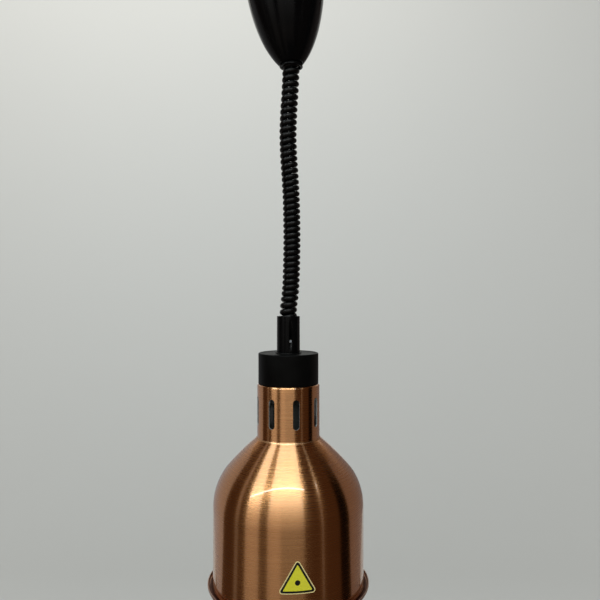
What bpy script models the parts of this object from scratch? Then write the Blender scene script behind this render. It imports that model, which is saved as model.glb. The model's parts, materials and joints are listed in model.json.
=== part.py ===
"""Retractable heat lamp pendant: a spring reel under a ceiling canopy lets a copper shade hang
from a steel wire inside a curly cord, so that the lamp can be pulled down over a counter.

Metres, +Z up. The origin is the middle of the ceiling bracket's top face and everything hangs below
it. The front is -Y. Heights are below zero.
"""

import math

import bmesh
import bpy
from mathutils import Matrix, Vector

# Driving dimensions
GAP = 0.0003  # between pieces that touch
LAMP_X = -0.003  # the stiff cord pushes the lamp this far off the reel's axis
LEAN = math.radians(4.5)  # of the canopy, its top towards -X

CANOPY_FOOT_Z = -0.1335
CANOPY_HEIGHT = 0.1285
CANOPY_RADIUS = 0.0433
CANOPY_WALL = 0.002
CANOPY_WIDE_AT = 0.1064  # height above the foot at which the wall turns upright
CANOPY_CURVE_HEIGHT = 0.1186
CANOPY_CURVE_WIDTH = 0.0535

TUBE_TOP_Z = -0.4036
TUBE_RADIUS = 0.0124
TUBE_BORE = 0.0103
CAP_TOP_Z = -0.4431
CAP_RADIUS = 0.0323
CAP_WALL = 0.0022

SHEET = 0.0010  # the shade's metal
NECK_TOP_Z = -0.4761
NECK_RADIUS = 0.0336
SHOULDER_Z = -0.5335  # where the lines of neck and shoulder meet
SHOULDER_START = math.radians(39.8)  # slope below level beside the neck
SHOULDER_END = math.radians(49.3)
SHOULDER_ARC = 0.257
SIDE_ARC = 0.0652  # from the shoulder round to the upright side
SHADE_FOOT_Z = -0.6880  # where the side turns out into the lip
LIP_RISE = 0.0016
LIP_BEND = 0.00275
FLANGE_HOLE = 0.0180

SLOT_COUNT = 8
SLOT_FIRST = math.radians(-30)  # azimuth from the front, towards +X
SLOT_WIDTH = 0.0070
SLOT_HEIGHT = 0.0308
SLOT_MIDDLE_Z = -0.5043
CLAMP_SCREW_X = 0.0245

COIL_RADIUS = 0.0094  # of the curly cord's outside
COIL_BORE = 0.0030
CORD_RADIUS = 0.00305
WIRE_RADIUS = 0.0006
CORD_TOP_Z = -0.1303
CORD_FOOT_Z = -0.4277
SWING_Z = -0.1338  # the lamp swings about the middle of the collar

REEL_Y = 0.006
REEL_Z = -0.048
REEL_RADIUS = 0.0200  # at which the wire winds
FRAME_HALF = 0.0111  # from the middle to each cheek's inner face
GROMMET_Z = -0.0856  # where the cord passes the left cheek
PLATE = 0.0015  # steel of the frame and the ears

BULB_RADIUS = 0.0625
BULB_FACE_Z = -0.6783

LABEL_AZIMUTH = math.radians(7.3)
LABEL_MIDDLE_Z = -0.6482
LABEL_WIDTH = 0.035
LABEL_HEIGHT = 0.0302

# The curly cord's middle line: its sideways place at each height
CORD_ROUTE = [
    (0.0, CORD_TOP_Z), (-0.0002, -0.1400), (-0.0010, -0.1600), (-0.0023, -0.1800),
    (-0.0032, -0.2000), (-0.0033, -0.2150), (-0.0025, -0.2350), (-0.0010, -0.2570),
    (0.0001, -0.2790), (0.0006, -0.3000), (0.0008, -0.3190), (0.0006, -0.3400),
    (0.0002, -0.3560), (-0.0005, -0.3730), (-0.0014, -0.3830), (-0.0026, -0.3920),
    (-0.0031, -0.4000), (-0.0030, -0.4080), (LAMP_X, -0.4180), (LAMP_X, CORD_FOOT_Z),
]


def clear_scene():
    for thing in list(bpy.data.objects):
        bpy.data.objects.remove(thing, do_unlink=True)


def finish(name, colour, metallic, roughness):
    """A material with one Principled shader."""
    made = bpy.data.materials.new(name)
    made.use_nodes = True
    shader = made.node_tree.nodes["Principled BSDF"]
    shader.inputs["Base Color"].default_value = (*colour, 1.0)
    shader.inputs["Metallic"].default_value = metallic
    shader.inputs["Roughness"].default_value = roughness
    return made


def pivot(name, at, parent=None, turn=None):
    """An empty on a joint's axis, for the pieces that the joint moves."""
    empty = bpy.data.objects.new(name, None)
    bpy.context.collection.objects.link(empty)
    empty.empty_display_size = 0.01
    empty.location = at
    if turn:
        empty.rotation_euler = turn
    if parent:
        bpy.context.view_layer.update()
        empty.parent = parent
        empty.matrix_parent_inverse = parent.matrix_world.inverted()
    bpy.context.view_layer.update()
    return empty


def add(name, bm, material, parent, at=(0, 0, 0), own_frame=False):
    """Links a finished bmesh as an object. Its place is in the world, unless own_frame keeps its parent's."""
    bmesh.ops.recalc_face_normals(bm, faces=bm.faces)
    mesh = bpy.data.meshes.new(name)
    bm.to_mesh(mesh)
    bm.free()
    mesh.shade_smooth()
    mesh.set_sharp_from_angle(angle=math.radians(35))
    thing = bpy.data.objects.new(name, mesh)
    bpy.context.collection.objects.link(thing)
    if material:
        mesh.materials.append(material)
    thing.location = at
    if parent:
        thing.parent = parent
        if not own_frame:
            thing.matrix_parent_inverse = parent.matrix_world.inverted()
    return thing


def arc(centre, radius, start, end, steps):
    """Points on a circle in the (radius, height) plane, angles in degrees from the outward direction."""
    points = []
    for step in range(steps + 1):
        angle = math.radians(start + (end - start) * step / steps)
        points.append((centre[0] + radius * math.cos(angle), centre[1] + radius * math.sin(angle)))
    return points


def smooth_curve(points, steps):
    """A Catmull-Rom curve through the points, with steps pieces between neighbours."""
    ends = [points[0], *points, points[-1]]
    made = []
    for a, b, c, d in zip(ends, ends[1:], ends[2:], ends[3:]):
        for step in range(steps):
            t = step / steps
            made.append(tuple(
                0.5 * (2 * q + (r - p) * t + (2 * p - 5 * q + 4 * r - s) * t * t
                       + (3 * q - p - 3 * r + s) * t ** 3)
                for p, q, r, s in zip(a, b, c, d)
            ))
    return [*made, tuple(points[-1])]


def sheet(middle, thickness):
    """The closed outline of a sheet of this thickness whose middle runs through the given points."""
    sides = ([], [])
    for index, point in enumerate(middle):
        here = Vector(point)
        before = (here - Vector(middle[index - 1])).normalized() if index else None
        after = (Vector(middle[index + 1]) - here).normalized() if index + 1 < len(middle) else None
        along = ((before or after) + (after or before)).normalized()
        across = Vector((-along.y, along.x))
        if middle[index][0] == 0:
            across = Vector((0, math.copysign(1, across.y)))
        reach = thickness / 2 / max(0.5, (before or along).dot(along))
        sides[0].append(tuple(here + across * reach))
        sides[1].append(tuple(here - across * reach))
    return sides[0] + sides[1][::-1]


def turned_mesh(outline, segments):
    """A closed (radius, height) outline turned round Z."""
    bm = bmesh.new()
    corners = [bm.verts.new((radius, 0, height)) for radius, height in outline]
    for here, there in zip(corners, corners[1:] + corners[:1]):
        if abs(here.co.x) + abs(there.co.x) > 1e-7:
            bm.edges.new((here, there))
    bmesh.ops.spin(
        bm, geom=bm.verts[:] + bm.edges[:], cent=(0, 0, 0), axis=(0, 0, 1),
        angle=math.tau, steps=segments, use_merge=True,
    )
    bmesh.ops.remove_doubles(bm, verts=bm.verts, dist=1e-6)
    return bm


def turned(name, outline, material, parent, at=(0, 0, 0), segments=20, facing=None, own_frame=False):
    """A turned piece. facing is the direction that its local +Z points in."""
    bm = turned_mesh(outline, segments)
    if facing:
        turn = Vector(facing).to_track_quat("Z", "Y").to_matrix().to_4x4()
        bmesh.ops.transform(bm, matrix=turn, verts=bm.verts)
    return add(name, bm, material, parent, at, own_frame)


def box_mesh(low, high):
    bm = bmesh.new()
    bmesh.ops.create_cube(bm, size=1)
    size = Vector(high) - Vector(low)
    middle = (Vector(high) + Vector(low)) / 2
    bmesh.ops.transform(bm, matrix=Matrix.Translation(middle) @ Matrix.Diagonal((*size, 1)), verts=bm.verts)
    return bm


def box(name, low, high, material, parent):
    return add(name, box_mesh(low, high), material, parent)


def shape(target, tool, operation):
    """A Boolean modifier that joins the tool to the target or cuts it out, with the tool left as a guide."""
    tool.hide_render = True
    tool.display_type = "WIRE"
    modifier = target.modifiers.new(tool.name, "BOOLEAN")
    modifier.operation = operation
    modifier.object = tool


def drill(target, name, at, direction, radius, length, segments=12):
    """A round hole, centred on at. Its corners are turned off the target's own edges."""
    outline = [(0, length / 2), (radius, length / 2), (radius, -length / 2), (0, -length / 2)]
    bm = turned_mesh(outline, segments)
    bmesh.ops.rotate(bm, cent=(0, 0, 0), matrix=Matrix.Rotation(0.11, 3, "Z"), verts=bm.verts)
    turn = Vector(direction).to_track_quat("Z", "Y").to_matrix().to_4x4()
    bmesh.ops.transform(bm, matrix=turn, verts=bm.verts)
    shape(target, add(name, bm, None, None, at), "DIFFERENCE")


def screw(name, at, outward, head_radius, head_height, shank_radius, shank_length, material, parent):
    """A domed screw. at is the middle of the head's seat, and outward points from the shank to the head."""
    outline = [
        (0, head_height), (head_radius * 0.6, head_height * 0.9), (head_radius, head_height * 0.35),
        (head_radius, 0), (shank_radius, 0), (shank_radius, -shank_length), (0, -shank_length),
    ]
    return turned(name, outline, material, parent, at, 8, outward)


def grub(name, at, outward, radius, length, material, parent):
    """A headless screw. at is its outer end."""
    outline = [(0, 0), (radius, 0), (radius, -length), (0, -length)]
    return turned(name, outline, material, parent, at, 8, outward)


def rod(name, points, radius, material, parent, sides=2):
    """A round rod or wire along the points."""
    curve = bpy.data.curves.new(name, "CURVE")
    curve.dimensions = "3D"
    curve.bevel_depth = radius
    curve.bevel_resolution = sides
    curve.use_fill_caps = True
    line = curve.splines.new("POLY")
    line.points.add(len(points) - 1)
    for place, point in zip(line.points, points):
        place.co = (*point, 1)
    curve.materials.append(material)
    thing = bpy.data.objects.new(name, curve)
    bpy.context.collection.objects.link(thing)
    if parent:
        thing.parent = parent
        thing.matrix_parent_inverse = parent.matrix_world.inverted()
    return thing


def sleeve(name, route, outer, inner, sides, material, parent):
    """A thick tube with level ends along a route that stays close to upright."""
    bm = bmesh.new()
    rings = []
    for x, y, z in route:
        pair = []
        for radius in (outer, inner):
            ring = []
            for side in range(sides):
                angle = math.tau * side / sides
                ring.append(bm.verts.new((x + radius * math.cos(angle), y + radius * math.sin(angle), z)))
            pair.append(ring)
        rings.append(pair)
    for side in range(sides):
        after = (side + 1) % sides
        for (outer_a, inner_a), (outer_b, inner_b) in zip(rings, rings[1:]):
            bm.faces.new((outer_a[side], outer_a[after], outer_b[after], outer_b[side]))
            bm.faces.new((inner_a[after], inner_a[side], inner_b[side], inner_b[after]))
        for outer_ring, inner_ring in (rings[0], rings[-1]):
            bm.faces.new((outer_ring[side], outer_ring[after], inner_ring[after], inner_ring[side]))
    return add(name, bm, material, parent)


# Finishes
clear_scene()
black_gloss = finish("canopy_black", (0.006, 0.006, 0.007), 0.0, 0.18)
black_satin = finish("cap_black", (0.010, 0.010, 0.010), 0.0, 0.45)
copper = finish("brushed_copper", (0.60, 0.33, 0.18), 1.0, 0.32)
steel = finish("zinc_steel", (0.55, 0.56, 0.57), 1.0, 0.38)
spring_steel = finish("spring_steel", (0.25, 0.27, 0.32), 1.0, 0.35)
brass = finish("brass", (0.72, 0.52, 0.20), 1.0, 0.35)
nylon = finish("nylon", (0.62, 0.61, 0.57), 0.0, 0.5)
black_plastic = finish("black_plastic", (0.015, 0.015, 0.015), 0.0, 0.4)
flex_black = finish("flex_black", (0.008, 0.008, 0.009), 0.0, 0.3)
porcelain = finish("porcelain", (0.065, 0.062, 0.052), 0.0, 0.25)
glass = finish("bulb_glass", (0.85, 0.87, 0.86), 0.0, 0.12)
aluminium = finish("aluminium", (0.75, 0.76, 0.77), 1.0, 0.3)
tungsten = finish("tungsten", (0.3, 0.3, 0.3), 1.0, 0.5)
yellow = finish("label_yellow", (0.60, 0.50, 0.03), 0.0, 0.4)

# The joints' pivots
reel_pivot = pivot("reel_pivot", (0, REEL_Y, REEL_Z))
collar_pivot = pivot("collar_pivot", (0, 0, CANOPY_FOOT_Z))
canopy_pivot = pivot("canopy_pivot", (0, 0, CANOPY_FOOT_Z), collar_pivot, (0, -LEAN, 0))
swing_pivot = pivot("swing_pivot", (0, 0, SWING_Z))
lamp_pivot = pivot("lamp_pivot", (LAMP_X, 0, TUBE_TOP_Z), swing_pivot)
bulb_pivot = pivot("bulb_pivot", (LAMP_X, 0, BULB_FACE_Z), lamp_pivot)


def ceiling_bracket():
    """A plate with two ears folded down, two ceiling screw holes and a hole for the supply cable."""
    plate = box("ceiling_bracket", (-0.024, -0.016, -0.002), (0.024, 0.016, 0), steel, None)
    inner = FRAME_HALF + PLATE + GAP
    for side, word in ((-1, "left"), (1, "right")):
        near, far = sorted((side * inner, side * (inner + PLATE)))
        ear = box(f"ear_{word}", (near, -0.009, -0.022), (far, 0.0145, -0.001), None, None)
        shape(plate, ear, "UNION")
        drill(plate, f"ear_hole_{word}", (side * inner, 0.004, -0.014), (1, 0, 0), 0.0022, 0.006)
        drill(plate, f"ceiling_hole_{word}", (side * 0.0195, 0, -0.001), (0, 0, 1), 0.0024, 0.006)
    drill(plate, "cable_hole", (0, -0.011, -0.001), (0, 0, 1), 0.0035, 0.006)


def reel_frame():
    """A steel strap bent into a U, with the axle between its cheeks and the guide tube in its web."""
    reach = FRAME_HALF + PLATE
    web = box("reel_frame", (-reach, -0.0135, -0.098), (reach, 0.022, -0.0965), steel, None)
    for side, word in ((-1, "left"), (1, "right")):
        near, far = sorted((side * FRAME_HALF, side * reach))
        cheek = box(f"cheek_{word}", (near, -0.0135, -0.098), (far, 0.022, -0.008), None, None)
        shape(web, cheek, "UNION")
        middle = side * (FRAME_HALF + PLATE / 2)
        for name, y, z, radius in (
            ("axle", REEL_Y, REEL_Z, 0.0033), ("screw", 0.004, -0.014, 0.0022), ("guide", 0, -0.078, 0.0013),
        ):
            drill(web, f"{name}_hole_{word}", (middle, y, z), (1, 0, 0), radius, 0.005)
        screw(
            f"frame_screw_{word}", (side * (reach + GAP + PLATE + GAP), 0.004, -0.014), (side, 0, 0),
            0.0035, 0.0022, 0.0019, 0.0055, steel, None,
        )
        screw(
            f"guide_screw_{word}", (side * (reach + GAP), 0, -0.078), (side, 0, 0),
            0.0018, 0.0013, 0.0010, 0.0050, steel, None,
        )
    drill(web, "guide_tube_hole", (0, 0, -0.097), (0, 0, 1), 0.0099, 0.005, 24)
    drill(web, "grommet_hole", (-(FRAME_HALF + PLATE / 2), 0, GROMMET_Z), (1, 0, 0), 0.0042, 0.005, 16)


def reel():
    """The axle with its clip, the drum, its clock spring and cover, and the wire wound on it."""
    end = FRAME_HALF + PLATE + GAP
    turned(
        "reel_axle",
        [
            (0, end + 0.002), (0.0045, end + 0.002), (0.0045, end), (0.003, end), (0.003, -0.0155),
            (0, -0.0155),
        ],
        steel, None, (0, REEL_Y, REEL_Z), 24, (1, 0, 0),
    )
    turned(
        "axle_clip", [(0.0033, -end - 0.001), (0.0033, -end), (0.006, -end), (0.006, -end - 0.001)],
        spring_steel, None, (0, REEL_Y, REEL_Z), 16, (1, 0, 0),
    )
    flange = 0.0250
    hub = REEL_RADIUS - 0.0028
    turned(
        "reel_drum",
        [
            (0.0031, -0.0092), (flange, -0.0092), (flange, -0.0080), (hub, -0.0080), (hub, 0.0080),
            (flange, 0.0080), (flange, 0.0092), (hub - 0.0015, 0.0092), (hub - 0.0015, -0.0075),
            (0.0055, -0.0075), (0.0055, -0.0035), (0.0031, -0.0035),
        ],
        black_plastic, reel_pivot, (0, REEL_Y, REEL_Z), 24, (1, 0, 0),
    )
    turned(
        "spring_cover", [(0.0033, 0.0095), (0.0033, 0.0103), (hub, 0.0103), (hub, 0.0095)],
        steel, reel_pivot, (0, REEL_Y, REEL_Z), 24, (1, 0, 0),
    )
    turned(
        "wound_wire",
        [
            (hub + GAP, -0.0076), (hub + GAP, 0.0076), (REEL_RADIUS - 0.0009, 0.0076),
            (REEL_RADIUS - 0.0009, -0.0076),
        ],
        steel, reel_pivot, (0, REEL_Y, REEL_Z), 24, (1, 0, 0),
    )


def reel_spring():
    """A clock spring: a flat strip wound in a spiral about the axle."""
    turns, steps, thick, first, last = 5, 12, 0.0005, 0.0038, 0.0148
    bm = bmesh.new()
    rings = []
    for step in range(turns * steps + 1):
        angle = math.tau * step / steps
        radius = first + (last - first) * step / (turns * steps)
        ring = []
        for reach, x in ((0, -0.003), (thick, -0.003), (thick, 0.0085), (0, 0.0085)):
            y = REEL_Y + (radius + reach) * math.cos(angle)
            z = REEL_Z + (radius + reach) * math.sin(angle)
            ring.append(bm.verts.new((x, y, z)))
        rings.append(ring)
    for here, there in zip(rings, rings[1:]):
        for side in range(4):
            after = (side + 1) % 4
            bm.faces.new((here[side], here[after], there[after], there[side]))
    bm.faces.new(rings[0])
    bm.faces.new(rings[-1])
    add("reel_spring", bm, spring_steel, None)


def wire_inside():
    """The wire between the drum and the outlet, led on to the lamp's line by a nylon block."""
    bend = Vector((0, -0.0745))
    centre = Vector((REEL_Y, REEL_Z))
    towards = bend - centre
    turn = math.acos(REEL_RADIUS / towards.length)
    leave = centre + towards.normalized() * REEL_RADIUS @ Matrix.Rotation(turn, 2)
    rod(
        "wire_lead",
        [
            (0, leave.x, leave.y), (0, *(bend + (leave - bend) * 0.04)), (0, 0, -0.0765),
            (0, 0, CORD_TOP_Z + 2 * GAP),
        ],
        WIRE_RADIUS, steel, None,
    )
    half = FRAME_HALF - GAP
    block = box("wire_guide", (-half, -0.004, -0.0800), (half, 0.004, -0.0757), nylon, None)
    drill(block, "wire_hole", (0, 0, -0.078), (0, 0, 1), 0.0012, 0.008, 12)
    for side, word in ((-1, "left"), (1, "right")):
        drill(block, f"guide_thread_{word}", (side * half, 0, -0.078), (1, 0, 0), 0.0013, 0.010, 12)


def guide():
    """The nylon tube that wire and cord leave through, held in the frame's web by a ring nut."""
    turned(
        "guide_tube",
        [
            (0.0075, -0.0942), (0.0106, -0.0942), (0.0106, -0.0962), (0.0096, -0.0962),
            (0.0096, CORD_TOP_Z + GAP), (0.0075, CORD_TOP_Z + GAP),
        ],
        nylon, None,
    )
    turned(
        "guide_nut",
        [(0.0099, -0.0983), (0.0135, -0.0983), (0.0135, -0.1020), (0.0099, -0.1020)],
        black_plastic, None,
    )


def wiring_inside():
    """The terminal block beside the frame, and the cord's tail that runs to it through a grommet."""
    outer = -(FRAME_HALF + PLATE + GAP)
    deep = outer - 0.014
    block = box("terminal_block", (deep, -0.012, -0.0750), (outer, 0.012, -0.0580), nylon, None)
    for index, y in enumerate((-0.0075, 0.0, 0.0075)):
        drill(block, f"wire_way_{index + 1}", (outer - 0.005, y, -0.0665), (0, 0, 1), 0.0017, 0.022, 10)
        drill(block, f"screw_way_{index + 1}", (deep, y, -0.0665), (1, 0, 0), 0.0022, 0.008, 10)
        at = (deep + 0.0005, y, -0.0665)
        grub(f"terminal_screw_{index + 1}", at, (-1, 0, 0), 0.0018, 0.003, brass, None)
    turned(
        "cord_grommet",
        [
            (0.0032, -0.0022), (0.0032, 0.0022), (0.0050, 0.0022), (0.0050, 0.0011), (0.0038, 0.0011),
            (0.0038, -0.0011), (0.0050, -0.0011), (0.0050, -0.0022),
        ],
        flex_black, None, (-(FRAME_HALF + PLATE / 2), 0, GROMMET_Z), 16, (1, 0, 0),
    )
    tail = smooth_curve(
        [
            (-0.0044, 0, CORD_TOP_Z + 2 * GAP), (-0.0044, 0, -0.1150), (-0.0044, 0, -0.0990),
            (-0.0052, 0, -0.0900), (-0.0070, 0, -0.0869), (-0.0096, 0, -0.0857), (-0.0118, 0, GROMMET_Z),
            (-0.0145, 0, -0.0854), (-0.0182, 0, -0.0825), (-0.0190, 0, -0.0790), (-0.0190, 0, -0.0754),
        ], 3,
    )
    rod("cord_tail", tail, CORD_RADIUS - GAP, flex_black, None)


def canopy_radius(height):
    """The canopy's outer radius at a height above its foot: part of an ellipse, then upright."""
    from_wide = max(0.0, CANOPY_WIDE_AT - height) / CANOPY_CURVE_HEIGHT
    return CANOPY_RADIUS - CANOPY_CURVE_WIDTH * (1 - math.sqrt(1 - from_wide ** 2))


def canopy():
    """The shell leans on its collar, which grips the guide tube with a grub screw."""
    steps = 11
    outer = []
    for step in range(steps + 1):
        height = CANOPY_HEIGHT * (step / steps) ** 1.25
        outer.append((canopy_radius(height), height))
    inner = []
    for radius, height in outer[::-1]:
        inner.append((max(radius - CANOPY_WALL, 0.0121), height))
    turned("canopy_shell", outer + inner, black_gloss, canopy_pivot, segments=36, own_frame=True)
    collar = turned(
        "outlet_collar",
        [
            (0.0099, -0.1210), (0.0113, -0.1210), (0.0113, -0.1350), (0.0120, -0.1350), (0.0125, -0.1355),
            (0.0125, -0.1367), (0.0120, -0.1372), (0.0103, -0.1372), (0.0103, -0.1303), (0.0099, -0.1300),
        ],
        black_gloss, collar_pivot,
    )
    drill(collar, "collar_screw_hole", (0, 0.0107, -0.1280), (0, 1, 0), 0.0013, 0.004, 10)
    grub("collar_screw", (0, 0.0115, -0.1280), (0, 1, 0), 0.0010, 0.0015, steel, collar_pivot)


def cord_and_wire():
    """The curly cord's outer shape, a thick tube, and the steel wire that hangs inside it."""
    route = [(x, 0, z) for x, z in CORD_ROUTE]
    sleeve("curly_cord", route, COIL_RADIUS, COIL_BORE, 12, flex_black, swing_pivot)
    foot = (LAMP_X, 0, CORD_FOOT_Z - 0.0090)
    rod("suspension_wire", [*route, foot], WIRE_RADIUS, steel, swing_pivot)


def tube():
    """The tube that the coil runs into, with the anchor that the wire pulls on."""
    at = (LAMP_X, 0, 0)
    bottom = CAP_TOP_Z - 0.012
    body = turned(
        "cord_tube",
        [
            (TUBE_BORE, TUBE_TOP_Z), (TUBE_RADIUS - 0.0005, TUBE_TOP_Z),
            (TUBE_RADIUS - 0.0001, TUBE_TOP_Z - 0.0004), (TUBE_RADIUS, CAP_TOP_Z + 0.0010),
            (TUBE_RADIUS, bottom), (TUBE_BORE, bottom),
        ],
        black_gloss, lamp_pivot, at,
    )
    screw_z = CORD_FOOT_Z - GAP - 0.002
    azimuth = math.radians(12)
    outward = (math.sin(azimuth), -math.cos(azimuth), 0)
    wall = (TUBE_RADIUS + TUBE_BORE) / 2
    middle = (LAMP_X + wall * outward[0], wall * outward[1], screw_z)
    drill(body, "anchor_screw_hole", middle, outward, 0.0017, 0.005, 10)
    end = (LAMP_X + TUBE_RADIUS * outward[0], TUBE_RADIUS * outward[1], screw_z)
    grub("anchor_screw", end, outward, 0.0014, 0.0020, steel, lamp_pivot)
    anchor = turned(
        "wire_anchor",
        [(0, 0), (TUBE_BORE - GAP, 0), (TUBE_BORE - GAP, -0.004), (0, -0.004)],
        brass, lamp_pivot, (LAMP_X, 0, CORD_FOOT_Z - GAP),
    )
    drill(anchor, "wire_way", (LAMP_X, 0, screw_z), (0, 0, 1), 0.0010, 0.008, 12)
    drill(anchor, "lead_way", (LAMP_X + 0.0055, 0, screw_z), (0, 0, 1), CORD_RADIUS + GAP, 0.008, 16)
    under = CORD_FOOT_Z - GAP - 0.004 - GAP
    turned(
        "wire_ferrule", [(0.0009, under), (0.0021, under), (0.0021, under - 0.007), (0.0009, under - 0.007)],
        brass, lamp_pivot, at, 12,
    )
    turned(
        "tube_nut",
        [(TUBE_RADIUS + GAP, -0.4471), (0.0165, -0.4471), (0.0165, -0.4520), (TUBE_RADIUS + GAP, -0.4520)],
        steel, lamp_pivot, at,
    )


def cap():
    """The black cap: a cup with two bosses for the screws that clamp the shade to it."""
    foot = NECK_TOP_Z + GAP
    under = CAP_TOP_Z - 0.0028
    body = turned(
        "socket_cap",
        [
            (TUBE_RADIUS + GAP, CAP_TOP_Z + 0.0007), (0.0140, CAP_TOP_Z + 0.0007),
            (0.0145, CAP_TOP_Z - 0.0004),
            (0.0290, CAP_TOP_Z - 0.0004), (0.0295, CAP_TOP_Z), (CAP_RADIUS - 0.0012, CAP_TOP_Z),
            (CAP_RADIUS - 0.0003, CAP_TOP_Z - 0.0004), (CAP_RADIUS, CAP_TOP_Z - 0.0013), (CAP_RADIUS, foot),
            (CAP_RADIUS - CAP_WALL, foot), (CAP_RADIUS - CAP_WALL, under), (TUBE_RADIUS + GAP, under),
        ],
        black_satin, lamp_pivot, (LAMP_X, 0, 0), 32,
    )
    for side, word in ((-1, "left"), (1, "right")):
        x = LAMP_X + side * CLAMP_SCREW_X
        boss = turned(
            f"boss_{word}", [(0, under + 0.001), (0.0043, under + 0.001), (0.0043, foot), (0, foot)],
            None, None, (x, 0, 0), 16,
        )
        shape(body, boss, "UNION")
        drill(body, f"boss_hole_{word}", (x, 0, foot), (0, 0, 1), 0.0019, 0.036, 12)
        screw(
            f"cap_screw_{word}", (x, 0, NECK_TOP_Z - 0.0032), (0, 0, -1),
            0.0032, 0.0022, 0.0016, 0.0185, steel, lamp_pivot,
        )


def holder():
    """The bracket that closes the neck's top from below, and the porcelain holder screwed to it."""
    top = NECK_TOP_Z - SHEET - GAP
    bottom = top - 0.0016
    bracket = turned(
        "holder_bracket", [(0.0090, top), (0.0290, top), (0.0290, bottom), (0.0090, bottom)],
        steel, lamp_pivot, (LAMP_X, 0, 0), 24,
    )
    for side, word in ((-1, "left"), (1, "right")):
        at = (LAMP_X + side * CLAMP_SCREW_X, 0, top)
        drill(bracket, f"clamp_way_{word}", at, (0, 0, 1), 0.0019, 0.008, 12)
    seat = bottom - GAP
    body = turned(
        "lamp_holder",
        [
            (0.0035, seat), (0.0190, seat), (0.0200, seat - 0.001), (0.0200, -0.4960), (0.0225, -0.5000),
            (0.0225, -0.5365), (0.0210, -0.5380), (0.0152, -0.5380), (0.0143, -0.5370), (0.0143, -0.5080),
            (0.0035, -0.5080),
        ],
        porcelain, lamp_pivot, (LAMP_X, 0, 0), 24,
    )
    for side, word in ((-1, "front"), (1, "back")):
        place = (LAMP_X, side * 0.0130)
        drill(bracket, f"holder_way_{word}", (*place, top), (0, 0, 1), 0.0018, 0.008, 12)
        drill(body, f"holder_thread_{word}", (*place, seat), (0, 0, 1), 0.0018, 0.026, 12)
        screw(
            f"holder_screw_{word}", (*place, top + GAP), (0, 0, 1),
            0.0030, 0.0020, 0.0015, 0.0140, steel, lamp_pivot,
        )
    earth = (LAMP_X + 0.0173, 0.0173)
    drill(bracket, "earth_way", (*earth, top), (0, 0, 1), 0.0014, 0.008, 10)
    under = (*earth, bottom - GAP)
    screw("earth_screw", under, (0, 0, -1), 0.0026, 0.0018, 0.0011, 0.0016, brass, lamp_pivot)
    turned(
        "screw_shell", [(0.01335, -0.5090), (0.01395, -0.5090), (0.01395, -0.5330), (0.01335, -0.5330)],
        brass, lamp_pivot, (LAMP_X, 0, 0), 24,
    )
    turned(
        "centre_contact", [(0, -0.5083), (0.0030, -0.5083), (0.0030, -0.5091), (0, -0.5091)],
        brass, lamp_pivot, (LAMP_X, 0, 0), 12,
    )
    lead = smooth_curve(
        [
            (0.0055, 0, CORD_FOOT_Z - GAP), (0.0055, 0, -0.4350), (0.0050, 0, -0.4450), (0.0030, 0, -0.4580),
            (0.0008, 0, -0.4690), (0, 0, -0.4760), (0, 0, seat + GAP),
        ], 3,
    )
    rod("lamp_lead", [(LAMP_X + x, y, z) for x, y, z in lead], CORD_RADIUS, flex_black, lamp_pivot)


def shade_middle():
    """The middle line of the shade's sheet, from the hole in its top down to the edge of its lip."""
    half = SHEET / 2
    neck = NECK_RADIUS - half
    top = NECK_TOP_Z - half
    round_off = 0.0015
    points = [(FLANGE_HOLE, top), *arc((neck - round_off, top - round_off), round_off, 90, 0, 2)]
    # A small hollow bend turns the upright neck into the shoulder's slope.
    bend = 0.0030
    turn = math.pi / 2 - SHOULDER_START
    reach = bend * math.tan(turn / 2)
    centre = (neck + bend, SHOULDER_Z + reach)
    start = 180
    points += arc(centre, bend, start, start + math.degrees(turn), 2)
    # Two round stretches: a flat one down the shoulder, then a tighter one into the side.
    for radius, first, last, steps in (
        (SHOULDER_ARC, SHOULDER_START, SHOULDER_END, 3), (SIDE_ARC, SHOULDER_END, math.pi / 2, 7),
    ):
        x, z = points[-1]
        centre = (x - radius * math.sin(first), z - radius * math.cos(first))
        points += arc(centre, radius, 90 - math.degrees(first), 90 - math.degrees(last), steps)[1:]
    side = points[-1][0]
    points += arc((side + LIP_BEND, SHADE_FOOT_Z), LIP_BEND, 180, 360, 6)
    points.append((side + 2 * LIP_BEND, SHADE_FOOT_Z + LIP_RISE))
    return points


def slot_tool(name, azimuth):
    """A long obround bar that cuts a pair of opposite slots."""
    bm = bmesh.new()
    half = SLOT_WIDTH / 2
    straight = SLOT_HEIGHT / 2 - half
    ring = []
    for end in (1, -1):
        for step in range(5):
            angle = math.pi * step / 4 + (0 if end > 0 else math.pi)
            ring.append(bm.verts.new((half * math.cos(angle), 0, half * math.sin(angle) + end * straight)))
    face = bm.faces.new(ring)
    moved = bmesh.ops.extrude_face_region(bm, geom=[face])["geom"]
    corners = [item for item in moved if isinstance(item, bmesh.types.BMVert)]
    reach = NECK_RADIUS + 0.004
    bmesh.ops.translate(bm, vec=(0, 2 * reach, 0), verts=corners)
    bmesh.ops.translate(bm, vec=(0, -reach, 0), verts=bm.verts)
    bmesh.ops.rotate(bm, cent=(0, 0, 0), matrix=Matrix.Rotation(azimuth, 3, "Z"), verts=bm.verts)
    return add(name, bm, None, None, (LAMP_X, 0, SLOT_MIDDLE_Z))


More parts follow.
